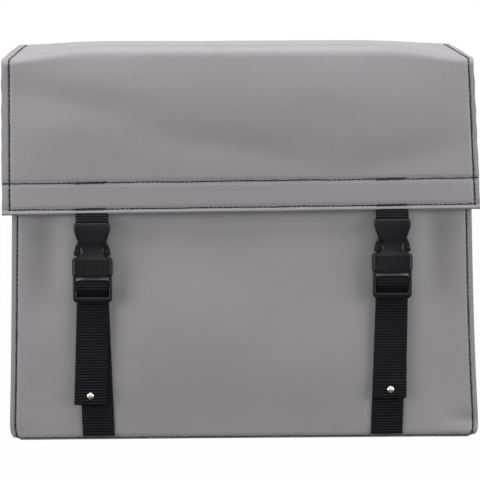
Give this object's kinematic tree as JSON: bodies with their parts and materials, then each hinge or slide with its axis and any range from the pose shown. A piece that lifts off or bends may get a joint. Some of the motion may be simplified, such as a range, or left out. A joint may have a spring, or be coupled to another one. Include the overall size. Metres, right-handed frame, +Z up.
{
  "type": "battery safe bag",
  "caption": "Box-shaped fire-resistant fabric bag with a hinged box lid, felt lining and webbing straps closed by side-release buckles, for storing model batteries.",
  "frame": {"origin": "middle of the bag's footprint, on the surface that it stands on", "axes": "+Z up, -Y out of the front with the buckles, +X to the right when looking at the front"},
  "size_m": [0.3702, 0.1138, 0.3039],
  "materials": {
    "coated_fabric": "satin coated weave",
    "felt_liner": "matte felt",
    "webbing": "ribbed webbing",
    "buckle_plastic": "satin moulded plastic",
    "rivet_metal": "nickel plated"
  },
  "bodies": {
    "bag": {"front_panel": "coated_fabric", "back_panel": "coated_fabric", "left_gusset": "coated_fabric", "right_gusset": "coated_fabric", "base_panel": "coated_fabric", "front_liner": "felt_liner", "back_liner": "felt_liner", "left_liner": "felt_liner", "right_liner": "felt_liner", "base_liner": "felt_liner", "mouth_hem": "coated_fabric", "lid_hinge_strip": "coated_fabric", "left_anchor_strap": "webbing", "right_anchor_strap": "webbing"},
    "lid": {"lid_panel": "coated_fabric", "lid_left_cheek": "coated_fabric", "lid_right_cheek": "coated_fabric", "lid_top_liner": "felt_liner", "lid_flap_liner": "felt_liner", "lid_hem": "coated_fabric", "left_upper_strap": "webbing", "right_upper_strap": "webbing", "left_buckle_socket": "buckle_plastic", "right_buckle_socket": "buckle_plastic"},
    "left_plug": {"left_buckle_plug": "buckle_plastic", "left_strap_loop": "webbing"},
    "left_outer_arm": {"left_outer_latch_arm": "buckle_plastic"},
    "left_inner_arm": {"left_inner_latch_arm": "buckle_plastic"},
    "left_tail": {"left_strap_tail": "webbing", "left_tail_rivet": "rivet_metal", "left_rivet_cap": "rivet_metal"},
    "right_plug": {"right_buckle_plug": "buckle_plastic", "right_strap_loop": "webbing"},
    "right_outer_arm": {"right_outer_latch_arm": "buckle_plastic"},
    "right_inner_arm": {"right_inner_latch_arm": "buckle_plastic"},
    "right_tail": {"right_strap_tail": "webbing", "right_tail_rivet": "rivet_metal", "right_rivet_cap": "rivet_metal"}
  },
  "joints": [
    {"name": "lid_hinge", "type": "hinge", "parent": "bag", "child": "lid", "pos_m": [0, 0.05575, 0.29555], "axis": [-1, 0, 0], "range_deg": [0, 250]},
    {"name": "left_release", "type": "slide", "parent": "bag", "child": "left_plug", "axis": [0, 0, -1], "range_m": [0, 0.0265], "deforming": ["left_anchor_strap", "left_outer_latch_arm", "left_inner_latch_arm"]},
    {"name": "left_outer_latch", "type": "hinge", "parent": "left_plug", "child": "left_outer_arm", "pos_m": [-0.1269, -0.05225, 0.13579], "axis": [0, 1, 0], "range_deg": [0, 8], "stiffness_Nm_per_rad": 0.02},
    {"name": "left_inner_latch", "type": "hinge", "parent": "left_plug", "child": "left_inner_arm", "pos_m": [-0.1061, -0.05225, 0.13579], "axis": [0, -1, 0], "range_deg": [0, 8], "stiffness_Nm_per_rad": 0.02},
    {"name": "left_tail_swing", "type": "hinge", "parent": "left_plug", "child": "left_tail", "pos_m": [-0.1165, -0.05005, 0.10799], "axis": [-1, 0, 0], "range_deg": [0, 80]},
    {"name": "right_release", "type": "slide", "parent": "bag", "child": "right_plug", "axis": [0, 0, -1], "range_m": [0, 0.0265], "deforming": ["right_anchor_strap", "right_outer_latch_arm", "right_inner_latch_arm"]},
    {"name": "right_outer_latch", "type": "hinge", "parent": "right_plug", "child": "right_outer_arm", "pos_m": [0.1269, -0.05225, 0.13781], "axis": [0, -1, 0], "range_deg": [0, 8], "stiffness_Nm_per_rad": 0.02},
    {"name": "right_inner_latch", "type": "hinge", "parent": "right_plug", "child": "right_inner_arm", "pos_m": [0.1061, -0.05225, 0.13781], "axis": [0, 1, 0], "range_deg": [0, 8], "stiffness_Nm_per_rad": 0.02},
    {"name": "right_tail_swing", "type": "hinge", "parent": "right_plug", "child": "right_tail", "pos_m": [0.1165, -0.05005, 0.11001], "axis": [-1, 0, 0], "range_deg": [0, 80]}
  ],
  "couplings": [
    {"joint": "left_inner_latch", "follows": "left_outer_latch", "ratio": 1},
    {"joint": "right_inner_latch", "follows": "right_outer_latch", "ratio": 1}
  ]
}
